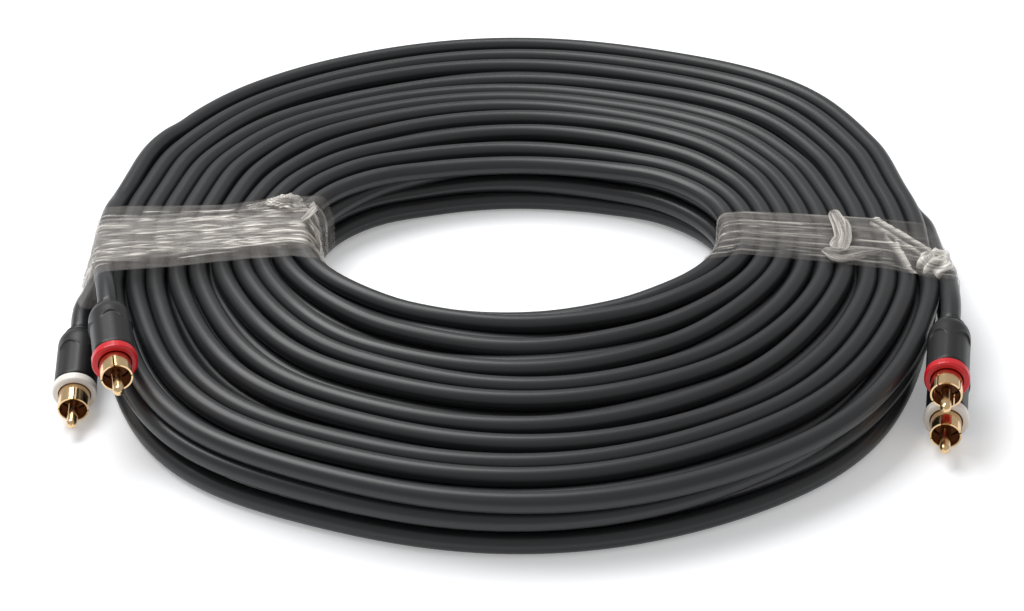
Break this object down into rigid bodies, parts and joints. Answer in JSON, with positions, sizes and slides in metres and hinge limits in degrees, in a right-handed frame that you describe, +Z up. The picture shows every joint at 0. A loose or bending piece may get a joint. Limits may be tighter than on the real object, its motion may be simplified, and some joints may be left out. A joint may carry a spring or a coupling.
{
  "type": "phono audio cable",
  "caption": "Coiled stereo audio cable: black coaxial cords wound together, tied with clear film, with gold phono plugs that have red and white rings on moulded black barrels.",
  "frame": {"origin": "middle of the coil, on the surface that it lies on", "axes": "+Z up, +Y away from the plugs, +X to the side with the stacked plugs"},
  "size_m": [0.291, 0.286, 0.0354],
  "materials": {
    "jacket": "semi-matt black PVC jacket",
    "film": "clear stretch film, many layers, streaked",
    "gold": "polished gold plating",
    "insulator": "dark brown insulator",
    "red_ring": "moulded red plastic",
    "white_ring": "moulded warm white plastic",
    "moulded_body": "satin black moulded PVC"
  },
  "bodies": {
    "root": {"cable_coil": "jacket", "left_film_wrap": "film", "right_film_wrap": "film", "left_red_pin": "gold", "left_red_ground_shell": "gold", "left_red_insulator": "insulator", "left_red_colour_ring": "red_ring", "left_red_barrel": "moulded_body", "left_red_lead": "jacket", "left_white_pin": "gold", "left_white_ground_shell": "gold", "left_white_insulator": "insulator", "left_white_colour_ring": "white_ring", "left_white_barrel": "moulded_body", "left_white_lead": "jacket", "right_red_pin": "gold", "right_red_ground_shell": "gold", "right_red_insulator": "insulator", "right_red_colour_ring": "red_ring", "right_red_barrel": "moulded_body", "right_red_lead": "jacket", "right_white_pin": "gold", "right_white_ground_shell": "gold", "right_white_insulator": "insulator", "right_white_colour_ring": "white_ring", "right_white_barrel": "moulded_body", "right_white_lead": "jacket"}
  },
  "joints": []
}
